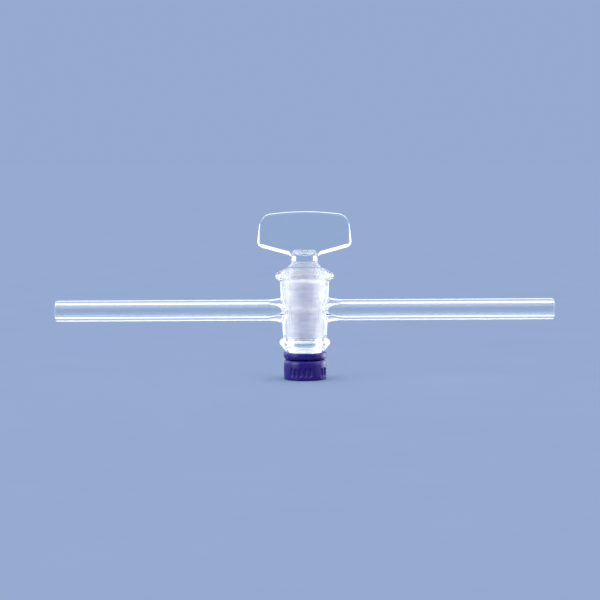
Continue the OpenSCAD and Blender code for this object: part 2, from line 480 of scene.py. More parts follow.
class Nodes:
    """Short way to build one node tree."""

    def __init__(self, tree: bpy.types.NodeTree) -> None:
        """Keeps the tree and empties it."""
        self.tree = tree
        tree.nodes.clear()

    def add(self, kind: str, **settings: object) -> bpy.types.Node:
        """Adds a node.

        Args:
            kind: Its type.
            settings: Properties to set on it.

        Returns:
            The node.
        """
        node = self.tree.nodes.new(kind)
        for name, value in settings.items():
            setattr(node, name, value)
        return node

    def link(self, source: Socket, target: Socket) -> None:
        """Joins two sockets."""
        self.tree.links.new(source, target)

    def put(self, target: Socket, value: object) -> None:
        """Feeds a socket.

        Args:
            target: The socket.
            value: Another socket to link, or a plain value.
        """
        if isinstance(value, Socket):
            self.link(value, target)
        else:
            target.default_value = value

    def place(self) -> Socket:
        """Adds the object coordinates."""
        return self.add("ShaderNodeTexCoord").outputs["Object"]

    def parts(self, vector: Socket) -> bpy.types.NodeOutputs:
        """Splits a vector.

        Args:
            vector: The vector.

        Returns:
            Its three parts.
        """
        node = self.add("ShaderNodeSeparateXYZ")
        self.link(vector, node.inputs[0])
        return node.outputs

    def whole(self, *values: object) -> Socket:
        """Makes a vector.

        Args:
            values: Its first parts, the rest being zero.

        Returns:
            The vector.
        """
        node = self.add("ShaderNodeCombineXYZ")
        for socket, value in zip(node.inputs, values):
            self.put(socket, value)
        return node.outputs[0]

    def math(self, operation: str, a: object, b: object = 0.0) -> Socket:
        """Adds a Math node.

        Args:
            operation: What it does.
            a: First value.
            b: Second value.

        Returns:
            The result.
        """
        node = self.add("ShaderNodeMath", operation=operation)
        for socket, value in zip(node.inputs, (a, b)):
            self.put(socket, value)
        return node.outputs[0]

    def span(self, value: object, low: object, high: object, start: object = 0.0,
             stop: object = 1.0, smooth: bool = True) -> Socket:
        """Maps a value from one span to another, clamped.

        Args:
            value: The value.
            low: Where the first span starts.
            high: Where it ends.
            start: Where the second span starts.
            stop: Where it ends.
            smooth: Eases in and out.

        Returns:
            The mapped value.
        """
        easing = "SMOOTHSTEP" if smooth else "LINEAR"
        node = self.add("ShaderNodeMapRange", interpolation_type=easing)
        names = ("Value", "From Min", "From Max", "To Min", "To Max")
        for name, v in zip(names, (value, low, high, start, stop)):
            self.put(node.inputs[name], v)
        return node.outputs["Result"]

    def noise(self, vector: Socket, scale: object, detail: float = 3.0,
              rough: float = 0.55) -> Socket:
        """Adds a noise pattern.

        Args:
            vector: Where it is read.
            scale: How fine it is.
            detail: How many finer layers it has.
            rough: How strong those are.

        Returns:
            Its value.
        """
        node = self.add("ShaderNodeTexNoise")
        names = ("Vector", "Scale", "Detail", "Roughness")
        for name, v in zip(names, (vector, scale, detail, rough)):
            self.put(node.inputs[name], v)
        return node.outputs["Fac"]

    def blend(self, factor: object, one: Sequence[float] | Socket,
              two: Sequence[float] | Socket) -> Socket:
        """Mixes two colours.

        Args:
            factor: Share of the second.
            one: First colour.
            two: Second colour.

        Returns:
            The mixed colour.
        """
        node = self.add("ShaderNodeMix", data_type="RGBA")
        for number, value in ((0, factor), (6, one), (7, two)):
            plain = not isinstance(value, Socket) and number > 0
            self.put(node.inputs[number], (*value, 1.0) if plain else value)
        return node.outputs[2]

    def bump(self, strength: float, distance: float, height: Socket) -> Socket:
        """Adds a Bump node.

        Args:
            strength: Its strength.
            distance: Its depth in metres.
            height: The pattern.

        Returns:
            The normal.
        """
        node = self.add("ShaderNodeBump")
        for name, value in (("Strength", strength), ("Distance", distance), ("Height", height)):
            self.put(node.inputs[name], value)
        return node.outputs["Normal"]

    def group(self, group: bpy.types.NodeTree, **values: object) -> bpy.types.NodeOutputs:
        """Places a node group.

        Args:
            group: The group.
            values: Its named inputs, with underscores for spaces.

        Returns:
            Its outputs.
        """
        node = self.add("ShaderNodeGroup", node_tree=group)
        for name, value in values.items():
            self.put(node.inputs[name.replace("_", " ")], value)
        return node.outputs


def new_material(name: str) -> tuple[bpy.types.Material, Nodes]:
    """Starts a material.

    Args:
        name: Its name.

    Returns:
        The material and its empty tree.
    """
    material = bpy.data.materials.new(name)
    material.use_nodes = True
    return material, Nodes(material.node_tree)


def new_group(name: str, inputs: dict[str, float],
              outputs: Sequence[str]) -> tuple[Nodes, dict[str, Socket], bpy.types.Node]:
    """Starts a shader node group that puts out plain values.

    Args:
        name: Name of the group.
        inputs: Name and first value of each number input.
        outputs: Names of the value outputs.

    Returns:
        The tree's helper, its input sockets by name, and the output node.
    """
    nodes = Nodes(bpy.data.node_groups.new(name, "ShaderNodeTree"))
    made, kind = nodes.tree.interface.new_socket, "NodeSocketFloat"
    for key, value in inputs.items():
        made(key, in_out="INPUT", socket_type=kind).default_value = value
    for key in outputs:
        made(key, in_out="OUTPUT", socket_type=kind)
    start, end = nodes.add("NodeGroupInput"), nodes.add("NodeGroupOutput")
    return nodes, {k: start.outputs[k] for k in inputs}, end


class Effects:
    """Node groups that more than one finish uses."""

    def __init__(self) -> None:
        """Builds each group once."""
        self.ground = self._ground()
        self.handling = self._handling()

    @staticmethod
    def _ground() -> bpy.types.NodeTree:
        """Marks a ground cone about Z.

        Returns:
            A group with a mask that is one on the cone, its fine grain and the patches where the
            band's painted shade is darker.
        """
        nodes, given, end = new_group(
            "ground_band", {"Top Radius": 0.00625, "Top": 0.0419, "Bottom": 0.0164, "Taper": 0.05},
            ["Mask", "Grain", "Film"])
        calc, place = nodes.math, nodes.place()
        x, y, z = nodes.parts(place)
        radius = calc("SQRT", calc("ADD", calc("MULTIPLY", x, x), calc("MULTIPLY", y, y)))
        drop = calc("SUBTRACT", given["Top"], z)
        wanted = calc("SUBTRACT", given["Top Radius"], calc("MULTIPLY", drop, given["Taper"]))
        off = calc("ABSOLUTE", calc("SUBTRACT", radius, wanted))
        on_cone = nodes.span(off, 0.00004, 0.0001, 1.0, 0.0)
        ragged = calc("MULTIPLY", calc("SUBTRACT", nodes.noise(place, 900.0), 0.5), 0.0006)
        height = calc("ADD", z, ragged)
        above = nodes.span(calc("SUBTRACT", height, given["Bottom"]), -0.0001, 0.0001)
        below = nodes.span(calc("SUBTRACT", given["Top"], height), -0.0001, 0.0001)
        nodes.link(calc("MULTIPLY", calc("MULTIPLY", above, below), on_cone), end.inputs["Mask"])
        # grinding leaves fine rings round the cone, so the grain is stretched along them
        turned = nodes.whole(x, y, calc("MULTIPLY", z, 6.0))
        nodes.link(nodes.noise(turned, 900.0, 4.0, 0.65), end.inputs["Grain"])
        # patches where the ground band's painted shade is laid darker, for the dim core of the
        # joint
        shade_patches = nodes.noise(turned, 150.0, 5.0, 0.7)
        nodes.link(nodes.span(shade_patches, 0.40, 0.62), end.inputs["Film"])
        return nodes.tree

    @staticmethod
    def _handling() -> bpy.types.NodeTree:
        """Marks a handled surface.

        Returns:
            A group with faint smears and a slow waviness.
        """
        nodes, given, end = new_group(
            "handling", {"Smear Scale": 60.0, "Wave Scale": 90.0}, ["Smear", "Wave"])
        place = nodes.place()
        smear = nodes.noise(place, given["Smear Scale"], 5.0, 0.5)
        nodes.link(nodes.span(smear, 0.45, 0.75), end.inputs["Smear"])
        nodes.link(nodes.noise(place, given["Wave Scale"], 1.0, 0.5), end.inputs["Wave"])
        return nodes.tree


@dataclass(frozen=True)
class GlassFinish:
    """Clear borosilicate glass with one ground band and softer tube rims."""

    name: str
    tint: Point3
    # grey painted shade over the ground band, and the darker painted shade of its patches
    ground_painted_shade: Point3
    patch_painted_shade: Point3
    band_radius: float
    band_top: float
    band_bottom: float
    rim_start: float
    taper: float = 0.05
    clear_rough: float = 0.018
    rim_rough: float = 0.32
    rim_fade: float = 0.0002
    ground_rough: tuple[float, float] = (0.46, 0.68)
    shadow_tint: Point3 = (0.86, 0.9, 0.92)

    def make(self, effects: Effects) -> bpy.types.Material:
        """Builds the material.

        Args:
            effects: The shared node groups.

        Returns:
            The material.
        """
        material, nodes = new_material(self.name)
        out = nodes.add("ShaderNodeOutputMaterial")
        glass = nodes.add("ShaderNodeBsdfPrincipled")
        glass.inputs["Metallic"].default_value = 0.0
        glass.inputs["Transmission Weight"].default_value = 1.0
        glass.inputs["IOR"].default_value = 1.473
        band = nodes.group(effects.ground, Top_Radius=self.band_radius, Top=self.band_top,
                           Bottom=self.band_bottom, Taper=self.taper)
        touch = nodes.group(effects.handling, Smear_Scale=70.0, Wave_Scale=110.0)
        clear = nodes.span(touch["Smear"], 0.0, 1.0, 0.0, self.clear_rough, smooth=False)
        grain = nodes.span(band["Grain"], 0.3, 0.7, *self.ground_rough, smooth=False)
        mix = nodes.add("ShaderNodeMix", data_type="FLOAT")
        for number, value in ((0, band["Mask"]), (2, clear), (3, grain)):
            nodes.link(value, mix.inputs[number])
        across = nodes.math("ABSOLUTE", nodes.parts(nodes.place())["X"])
        rim_end = self.rim_start + self.rim_fade
        rim = nodes.span(across, self.rim_start, rim_end, 0.0, self.rim_rough)
        nodes.link(nodes.math("MAXIMUM", mix.outputs[0], rim), glass.inputs["Roughness"])
        # the ground band gets a painted grey shade with darker patches, standing in for the dim
        # core seen through the joint
        mottled_tone = nodes.blend(band["Film"], self.ground_painted_shade, self.patch_painted_shade)
        nodes.link(nodes.blend(band["Mask"], self.tint, mottled_tone), glass.inputs["Base Color"])
        nodes.link(nodes.bump(0.12, 0.00006, touch["Wave"]), glass.inputs["Normal"])
        # lamps shine through the glass onto what lies behind it
        through = nodes.add("ShaderNodeBsdfTransparent")
        through.inputs["Color"].default_value = (*self.shadow_tint, 1.0)
        choice = nodes.add("ShaderNodeMixShader")
        path = nodes.add("ShaderNodeLightPath").outputs["Is Shadow Ray"]
        for socket, source in zip(choice.inputs, (path, glass.outputs[0], through.outputs[0])):
            nodes.link(source, socket)
        nodes.link(choice.outputs[0], out.inputs["Surface"])
        return material


@dataclass(frozen=True)
class MouldedFinish:
    """Moulded plastic or rubber."""

    name: str
    colour: Point3
    mottled_tone: Point3
    rough: float
    grain: float
    gloss: float = 0.25
    smear: float = 0.12

    def make(self, effects: Effects) -> bpy.types.Material:
        """Builds the material.

        Args:
            effects: The shared node groups.

        Returns:
            The material.
        """
        material, nodes = new_material(self.name)
        out = nodes.add("ShaderNodeOutputMaterial")
        body = nodes.add("ShaderNodeBsdfPrincipled")
        place = nodes.place()
        touch = nodes.group(effects.handling, Smear_Scale=160.0, Wave_Scale=500.0)
        mottle = nodes.span(nodes.noise(place, 420.0, 4.0), 0.35, 0.75)
        nodes.link(nodes.blend(mottle, self.colour, self.mottled_tone), body.inputs["Base Color"])
        most = self.rough + self.smear
        rough = nodes.span(touch["Smear"], 0.0, 1.0, self.rough, most, smooth=False)
        nodes.link(rough, body.inputs["Roughness"])
        body.inputs["IOR"].default_value = 1.49
        body.inputs["Specular IOR Level"].default_value = self.gloss
        wave = nodes.math("MULTIPLY", touch["Wave"], 1.5)
        height = nodes.math("ADD", nodes.noise(place, 5200.0, 2.0), wave)
        nodes.link(nodes.bump(self.grain, 0.00002, height), body.inputs["Normal"])
        nodes.link(body.outputs[0], out.inputs["Surface"])
        return material


# ---------------------------------------------------------------- glass body

@dataclass
class GlassBody:
    """Barrel and its two side tubes, fused into one piece of glass."""

    layout: Layout
    fit: GroundFit
    seat_width: float = 1.7
    relief_height: float = 4.5
    relief_step: float = 0.35
    relief_soft: float = 0.12
    bottom_reach: float = 1.5
    bottom_round: float = 1.75
    bottom_lift: float = 3.6
    bottom_crease: float = 1.15
    top_reach: float = 1.8
    top_round: float = 1.3
    top_drop: float = 3.25
    top_crease: float = 1.7
    collar_slope: float = 30.0
    collar_soft: float = 0.7
    lip_round: float = 0.4
    tube_bore: float = 2.5
    end_round: float = 0.35
    flare_rise: float = 0.9
    knee_out: float = 0.9
    root_hole: float = 6.0
    root_rows: float = 6.9
    root_steps: int = 8
    way_out: float = 1.2
    way_in: float = 0.6
    way_open: float = 0.08
    way_soft: float = 1.1
    wheel_out: Wheel = field(default_factory=lambda: Wheel(50, 30, 34))
    wheel_in: Wheel = field(default_factory=lambda: Wheel(PORT_WINDOW, 30, 34))

    @property
    def knee(self) -> float:
        """Distance from the axis at which the fillet meets the swelling tube."""
        return self.fit.body(self.layout.axis) + self.knee_out

    @property
    def sweep(self) -> float:
        """Radius of the long arc along which the tube swells."""
        length = self.layout.tube_start - self.fit.body(self.layout.axis)
        return (length ** 2 + self.flare_rise ** 2) / (2 * self.flare_rise)

    def swell(self, x: float) -> float:
        """Radius of the swelling tube at a distance from the axis."""
        drop = math.sqrt(self.sweep ** 2 - (self.layout.tube_start - x) ** 2)
        return self.layout.tube_radius + self.sweep - drop

    def _outside(self) -> tuple[list[Point2], list[Point2]]:
        """Outlines of the barrel's outside.

        Returns:
            The outlines below and above the pierced part, both upwards.
        """
        lay, fit = self.layout, self.fit
        low_z, top_z = lay.seat + self.bottom_lift, lay.mouth - self.top_drop
        low_r = fit.body(low_z) + self.bottom_reach - self.bottom_round
        top_r = fit.body(top_z) + self.top_reach - self.top_round
        low_crease = low_z + self.bottom_crease * self.bottom_round
        top_crease = top_z - self.top_crease * self.top_round
        relief_r = fit.bore(lay.seat + self.relief_height) + self.relief_step
        first, last = lay.axis - self.root_rows, lay.axis + self.root_rows
        below = [(relief_r, lay.seat), (relief_r + self.seat_width, lay.seat)]
        below += arc((low_r, low_z), self.bottom_round, -48, 68, 14)
        below += [(fit.body(low_crease), low_crease), (fit.body(first), first)]
        above = [(fit.body(last), last), (fit.body(top_crease), top_crease)]
        above += arc((top_r, top_z), self.top_round, -75, 90 - self.collar_slope, 14)
        above += arc((fit.bore(fit.top) + self.lip_round, lay.mouth - self.lip_round),
                     self.lip_round, 90 - self.collar_slope, 180, 6)
        above += [(fit.bore(fit.top), fit.top)]
        return softened(below, self.collar_soft), softened(above, self.collar_soft)

    def _root(self, skin: Skin, mouth: list[int], side: Side) -> list[list[int]]:
        """Fillet that carries the barrel's side over into the tube.

        Args:
            skin: The surface.
            mouth: The outside's hole on this side.
            side: The side.

        Returns:
            Rings from the hole to the knee of the swelling.
        """
        lay, knee_x, knee_r = self.layout, self.knee, self.swell(self.knee)
        dx = lay.tube_start - knee_x
        slope = dx / math.sqrt(self.sweep ** 2 - dx ** 2)
        rings = [mouth]
        for k in range(1, self.root_steps + 1):
            t = k / self.root_steps
            points = []
            for i, number in enumerate(mouth):
                x0 = abs(skin.points[number][0])
                turn = ring_turn(i, self.wheel_out.window_spans)
                # where the barrel's own surface and the tube's line would meet
                reach = knee_r + slope * (knee_x - x0) * 0.5
                y, z = reach * math.cos(turn), lay.axis + reach * math.sin(turn)
                meet_x = math.sqrt(self.fit.body(z) ** 2 - y * y)
                a, b, c = (x0, self.root_hole), (meet_x, reach * 0.97), (knee_x, knee_r)
                x, r = ((1 - t) ** 2 * p + 2 * t * (1 - t) * q + t * t * s
                        for p, q, s in zip(a, b, c))
                points.append((side.value * x, r * math.cos(turn), lay.axis + r * math.sin(turn)))
            rings.append(skin.ring(points))
        return rings

    def _tube(self) -> list[Point2]:
        """Profile of one tube.

        Returns:
            Points from the knee out to the rounded rim, and back in through the bore.
        """
        lay, soft, bore = self.layout, self.end_round, self.tube_bore
        edge = lay.reach - soft
        out = [(x, self.swell(x)) for x in np.linspace(self.knee, lay.tube_start, 12)[1:]]
        out += [(x, lay.tube_radius) for x in np.linspace(lay.tube_start, edge, 14)[1:-1]]
        turns = np.radians(np.linspace(90, 0, 7))
        out += [(edge + soft * math.cos(a), lay.tube_radius - soft + soft * math.sin(a))
                for a in turns]
        out += [(edge + soft * math.cos(a), bore + soft - soft * math.sin(a))
                for a in turns[::-1]]
        way = lay.tube_start + self.way_out
        out += [(x, bore) for x in np.linspace(edge, way, 14)[1:]]
        inner = (self.fit.bore(lay.axis) + self.way_in, self.fit.port + self.way_open)
        line = [(way, bore), (lay.tube_start, bore), inner]
        return out + softened(line, self.way_soft, turn=2.0, steps=6)[1:]

    def build(self) -> bpy.types.Object:
        """Makes the fused glass piece.

        Returns:
            The object.
        """
        skin = Skin()
        lathe = Lathe(skin)
        lay, fit = self.layout, self.fit
        below, above = self._outside()
        outer, inner = self.wheel_out.angles(), self.wheel_in.angles()
        window = Hole(lay.axis, self.root_hole, self.root_rows)
        low, high, roots = lathe.pierced(self.wheel_out, fit.body, window)
        rows = [lathe.row(p, outer) for p in below[1:-1]]
        upper = [lathe.row(p, outer) for p in above[1:-1]]
        bore_low, bore_high, ports = lathe.pierced(self.wheel_in, fit.bore, fit.port_hole())
        relief_z = lay.seat + self.relief_height
        top_z = np.linspace(fit.top, lay.axis + fit.port_rows, 24)[:-1]
        foot_z = np.linspace(lay.axis - fit.port_rows, relief_z, 20)[1:]
        tops, feet = ([lathe.row((fit.bore(z), z), inner) for z in run] for run in (top_z, foot_z))
        corners = [(fit.bore(relief_z), relief_z), (below[0][0], relief_z), below[0], below[1]]
        relief = [lathe.row(p, inner) for p in softened(corners, self.relief_soft)[1:-1]]
        lathe.chain([*rows, low])
        lathe.chain([high, *upper, *tops, bore_high])
        lathe.chain([bore_low, *feet, *relief, rows[0]])
        for side in Side:
            rings = self._root(skin, roots[side], side)
            rings += lathe.along_x(self._tube(), lay.axis, side, self.wheel_out.window_spans)
            lathe.chain([*rings, ports[side]])
        return skin.piece("glass_barrel_and_tubes")


# ---------------------------------------------------------------- key

@dataclass
class HandleForm:
    """Implicit form of the flat pressed handle and its root, in millimetres."""

    layout: Layout
    neck_radius: float
    base_lift: float = 3.6
    half_thick: float = 2.3
    flat_slope: float = 2.2
    flat_lift: float = 4.7
    heel_in: float = 2.3
    heel_lift: float = 6.2
    heel_round: float = 2.3
    root_half: float = 2.475
    root_lift: float = 2.6
    root_soft: float = 0.6
    root_over: float = 0.6
    corner_in: float = 5.6
    corner_drop: float = 5.7
    corner_round: float = 4.9
    crown: float = 0.8
    edge_low: float = 2.25
    edge_loss: float = 0.95
    blend: float = 1.3
    room: Point2 = (19.0, 6.2)

    def __post_init__(self) -> None:
        """Lays out the handle above the neck."""
        self.base = self.layout.mouth + self.base_lift
        self.flat_low = self.layout.mouth + self.flat_lift
        self.heel = (self.layout.handle_half - self.heel_in, self.base + self.heel_lift)
        self.top = self.layout.handle_top
        self.corner = (self.layout.handle_half - self.corner_in, self.top - self.corner_drop)
        self.outline = self._outline()

    def _outline(self) -> np.ndarray:
        """Side view of the blade.

        Returns:
            Its convex outline of (x, z) points.
        """
        rounds = []
        for s in (-1, 1):
            rounds.append((s * self.heel[0], self.heel[1], self.heel_round))
            rounds.append((s * self.root_half, self.base + self.root_lift, self.heel_round))
            rounds.append((s * self.corner[0], self.corner[1], self.corner_round))
        points = [(x + r * math.cos(a), z + r * math.sin(a)) for x, z, r in rounds
                  for a in np.linspace(0, 2 * math.pi, 121)[:-1]]
        points += [(share * self.corner[0], self.top - self.crown * share ** 2)
                   for share in np.linspace(-1, 1, 41)]
        points.sort()
        hull: list[Point2] = []
        for run in (points, points[::-1]):
            start = len(hull)
            for p in run:
                while len(hull) - start >= 2:
                    (ax, az), (bx, bz) = hull[-2], hull[-1]
                    if (bx - ax) * (p[1] - az) - (bz - az) * (p[0] - ax) > 1e-9:
                        break
                    hull.pop()
                hull.append(p)
            hull.pop()
        return np.array(hull)

    def _blade(self, x: np.ndarray, y: np.ndarray, z: np.ndarray) -> np.ndarray:
        """Distance to the rounded blade.

        Args:
            x: Places across.
            y: Places through the blade.
            z: Heights.

        Returns:
            The distances.
        """
        shape = x.shape
        px, pz = x.ravel(), z.ravel()
        nearest = np.full(px.shape, 1e9)
        side = np.full(px.shape, -1e9)
        for (ax, az), (bx, bz) in zip(self.outline, np.roll(self.outline, -1, axis=0)):
            dx, dz = bx - ax, bz - az
            size = dx * dx + dz * dz
            t = np.clip(((px - ax) * dx + (pz - az) * dz) / size, 0, 1)
            nearest = np.minimum(nearest, (px - ax - t * dx) ** 2 + (pz - az - t * dz) ** 2)
            side = np.maximum(side, ((px - ax) * dz - (pz - az) * dx) / math.sqrt(size))
        flat = (np.sqrt(nearest) * np.where(side > 0, 1, -1)).reshape(shape)
        share = np.clip((z - self.heel[1]) / (self.corner[1] - self.heel[1]), 0, 1)
        edge = self.edge_low - self.edge_loss * share * share * (3 - 2 * share)
        u, v = flat + edge, np.abs(y) - (self.half_thick - edge)
        return np.minimum(np.maximum(u, v), 0) + np.hypot(np.maximum(u, 0), np.maximum(v, 0)) - edge

    def _root(self, x: np.ndarray, y: np.ndarray, z: np.ndarray) -> np.ndarray:
        """Distance to the root that carries the round neck into the blade.

        Args:
            x: Places across.
            y: Places through the blade.
            z: Heights.

        Returns:
            The distances.
        """
        rise = (self.neck_radius - self.half_thick) / self.flat_slope
        flat = np.abs(y) - self.neck_radius + (z - self.flat_low) * self.flat_slope
        flat = flat / math.hypot(1, self.flat_slope)
        round_side = np.hypot(x, y) - self.neck_radius
        h = np.clip(0.5 + 0.5 * (flat - round_side) / self.root_soft, 0, 1)
        both = round_side + (flat - round_side) * h + self.root_soft * h * (1 - h)
        return np.maximum(both, z - self.flat_low - rise - self.root_over)

    def distance(self, p: np.ndarray) -> np.ndarray:
        """Signed distance of each point.

        Args:
            p: The points.

        Returns:
            The distances, negative inside.
        """
        x, y, z = p[..., 0], p[..., 1], p[..., 2]
        one, two = self._blade(x, y, z), self._root(x, y, z)
        h = np.clip(0.5 + 0.5 * (two - one) / self.blend, 0, 1)
        return two + (one - two) * h - self.blend * h * (1 - h)

    def net(self, low: float, step: float) -> tuple[np.ndarray, list[tuple[int, ...]]]:
        """Even quad mesh of the form above a height.

        Args:
            low: Height of the open lower end.
            step: Size of the cells.

        Returns:
            Points and quads.
        """
        xs, ys = (np.arange(-half, half + step, step) for half in self.room)
        zs = np.arange(low - 1.5 * step, self.top + 2 * step, step)
        grid = np.stack(np.meshgrid(xs, ys, zs, indexing="ij"), axis=-1)
        value = self.distance(grid)
        inside = value < 0
        shape = tuple(n - 1 for n in value.shape)
        total, count = np.zeros((*shape, 3)), np.zeros(shape)
        for axis in range(3):
            others = [a for a in range(3) if a != axis]
            for du in (0, 1):
                for dv in (0, 1):
                    first = [slice(None)] * 3
                    first[axis] = slice(0, shape[axis])
                    first[others[0]] = slice(du, du + shape[others[0]])
                    first[others[1]] = slice(dv, dv + shape[others[1]])
                    second = list(first)
                    second[axis] = slice(1, 1 + shape[axis])
                    a, b = value[tuple(first)], value[tuple(second)]
                    cross = (a < 0) != (b < 0)
                    t = np.where(cross, a / np.where(cross, a - b, 1), 0)
                    start, stop = grid[tuple(first)], grid[tuple(second)]
                    p = start + t[..., None] * (stop - start)
                    total += np.where(cross[..., None], p, 0)
                    count += cross
        used = count > 0
        number = np.full(shape, -1)
        number[used] = np.arange(used.sum())
        points = total[used] / count[used][:, None]
        probe = 0.02
        for _ in range(4):  # pulls the points onto the true surface
            f = self.distance(points)
            rise = [self.distance(points + e) - self.distance(points - e)
                    for e in np.eye(3) * probe]
            slope = np.stack(rise, axis=-1) / (2 * probe)
            points = points - (f / np.maximum((slope ** 2).sum(-1), 1e-6))[:, None] * slope
        quads = []
        for axis in range(3):
            u, v = [a for a in range(3) if a != axis]
            first = [slice(1, n) for n in shape]
            first[axis] = slice(0, shape[axis])
            second = list(first)
            second[axis] = slice(1, 1 + shape[axis])
            a, b = inside[tuple(first)], inside[tuple(second)]
            for cell in np.argwhere(a != b):
                base = cell.copy()
                base[u] += 1
                base[v] += 1
                corner = []
                for du, dv in ((1, 1), (0, 1), (0, 0), (1, 0)):
                    at = base.copy()
                    at[u] -= du
                    at[v] -= dv
                    corner.append(int(number[tuple(at)]))
                if min(corner) >= 0:
                    quads.append(tuple(corner))
        return points, quads


@dataclass
class Key:
    """Solid glass key: handle, neck, ground cone with its cross bore, and threaded shank."""

    layout: Layout
    fit: GroundFit
    shank: float = 3.5
    flat: float = 2.8
    pitch: float = 1.5
    thread_depth: float = 0.42
    thread_stop: float = 0.35
    thread_fade: float = 0.6
    row_step: float = 0.1
    cone_end_lift: float = 2.2
    clear_end: float = 3.8
    clear_step: float = 0.12
    end_round: float = 0.4
    tip_bevel: float = 0.3
    shoulder_round: float = 1.0
    shoulder_rise: float = 0.1
    shoulder_turn: float = 42.0
    neck: float = 4.95
    neck_fillet: float = 1.8
    neck_lift: float = 2.4
    neck_soft: float = 0.25
    join_height: float = 2.9
    join_gap: float = 0.3
    net_step: float = 0.36
    wheel: Wheel = field(default_factory=lambda: Wheel(PORT_WINDOW, 18, 38))

    @property
    def cone_end(self) -> float:
        """Height of the cone's small end."""
        return self.layout.seat + self.cone_end_lift

    @property
    def ground_bottom(self) -> float:
        """Height of the ground band's lower edge."""
        return self.cone_end + self.clear_end

    def _shank(self, r: float, z: float, turn: float) -> float:
        """Radius of the threaded shank with its flat.

        Args:
            r: Radius without thread and flat.
            z: Height.
            turn: Angle.

        Returns:
            The radius.
        """
        depth = self.thread_depth * groove(z, turn, self.pitch)
        depth *= clamped((self.cone_end - self.thread_stop - z) / self.thread_fade)
        return flattened(min(r, self.shank - depth), self.flat, turn)

    def build(self) -> bpy.types.Object:
        """Makes the key.

        Returns:
            The object.
        """
        skin = Skin()
        lathe = Lathe(skin)
        lay, fit, cone_end, ground = self.layout, self.fit, self.cone_end, self.ground_bottom
        angles = self.wheel.angles()
        port_low, port_high = lay.axis - fit.port_rows, lay.axis + fit.port_rows
        bevel = lay.shank_end + self.tip_bevel
        shank = [(self.shank - self.tip_bevel, lay.shank_end), (self.shank, bevel)]
        steps = np.arange(bevel + self.row_step, cone_end - self.row_step, self.row_step)
        shank += [(self.shank, z) for z in (*steps, cone_end)]
        rows = [lathe.row(p, angles, self._shank) for p in shank]
        skin.cap(rows[0], (0, 0, lay.shank_end))
        small = fit.cone(cone_end) - self.clear_step - self.end_round
        lower = [(self.shank, cone_end)]
        lower += arc((small, cone_end + self.end_round), self.end_round, -90, 0, 5)
        lower += [(fit.cone(ground) - self.clear_step, ground - 0.1), (fit.cone(ground), ground),
                  (fit.cone(port_low), port_low)]
        rows += [lathe.row(p, angles) for p in softened(lower, 0.1)[1:-1]]
        low, high, ports = lathe.pierced(self.wheel, fit.cone, fit.port_hole())
        shoulder_z = lay.mouth + self.shoulder_rise
        neck_z = shoulder_z + self.neck_lift * self.shoulder_round
        upper = [(fit.cone(z), z) for z in np.linspace(port_high, fit.top, 20)[1:]]
        upper += arc((fit.cone(fit.top) - self.shoulder_round, shoulder_z), self.shoulder_round,
                     0, self.shoulder_turn, 6)
        upper += arc((self.neck + self.neck_fillet, neck_z), self.neck_fillet,
                     180 + self.shoulder_turn, 180, 8)
        upper += [(self.neck, lay.mouth + self.join_height - self.join_gap)]
        tops = [lathe.row(p, angles) for p in softened(upper, self.neck_soft)]
        lathe.chain([*rows, low])
        lathe.chain([high, *tops])
        across = []
        for t in (0.2, 0.4, 0.6, 0.8):
            ends = ([skin.points[i] for i in ports[side]] for side in (Side.RIGHT, Side.LEFT))
            across.append(skin.ring([
                ((1 - t) * a[0] + t * b[0], a[1], a[2]) for a, b in zip(*ends)]))
        lathe.chain([ports[Side.RIGHT], *across, ports[Side.LEFT]])
        self._handle(skin, tops[-1])
        return skin.piece("glass_key")

    def _handle(self, skin: Skin, neck_ring: list[int]) -> None:
        """Adds the handle's net and joins it to the neck.

        Args:
            skin: The key's surface.
            neck_ring: Top row of the neck.
        """
        low = self.layout.mouth + self.join_height
        points, quads = HandleForm(self.layout, self.neck).net(low, self.net_step)
        first = skin.ring(points)[0]
        quads = [q for q in quads if all(points[i][2] > low - 0.2 for i in q)]
        skin.faces += [tuple(first + i for i in q) for q in quads]
        sides = Counter(tuple(sorted(pair)) for q in quads for pair in zip(q, (*q[1:], q[0])))
        rim = sorted({i for pair, times in sides.items() if times == 1 for i in pair})
        skin.zipped(neck_ring, [first + i for i in rim])


# ---------------------------------------------------------------- keeper

@dataclass
class Washer:
    """Smooth ring with a D-shaped hole, directly below the barrel."""

    layout: Layout
    hole: float = 3.58
    hole_flat: float = 2.88
    hole_edge: float = 0.12
    hole_soft: float = 0.03
    edge_top: float = 0.5
    edge_bottom: float = 1.0
    inset: float = 1.5
    columns: int = 192

    def _hole(self, r: float, _z: float, turn: float) -> float:
        """Radius of the D-shaped hole, with its edge pulled outwards by r."""
        return flattened(self.hole, self.hole_flat, turn) + r

    def build(self) -> bpy.types.Object:
        """Makes the washer.

        Returns:
            The object.
        """
        skin = Skin()
        lathe = Lathe(skin)
        low, high, radius = self.layout.washer_low, self.layout.seat, self.layout.washer_radius
        edge, soft = self.hole_edge, self.hole_soft
        angles = np.linspace(0, 2 * math.pi, self.columns + 1)[:-1]
        outline = [(radius - self.edge_bottom - self.inset, low)]
        outline += arc((radius - self.edge_bottom, low + self.edge_bottom),
                       self.edge_bottom, -90, 0, 10)
        outline += arc((radius - self.edge_top, high - self.edge_top), self.edge_top, 0, 90, 8)
        outline += [(radius - self.edge_top - self.inset, high)]
        hole = [(edge, high), (soft, high - soft), (0.0, high - edge),
                (0.0, low + edge), (soft, low + soft), (edge, low)]
        rows = [lathe.row(p, angles) for p in outline]
        lathe.chain([*rows, *(lathe.row(p, angles, self._hole) for p in hole), rows[0]])
        return skin.piece("keeper_washer_ring")


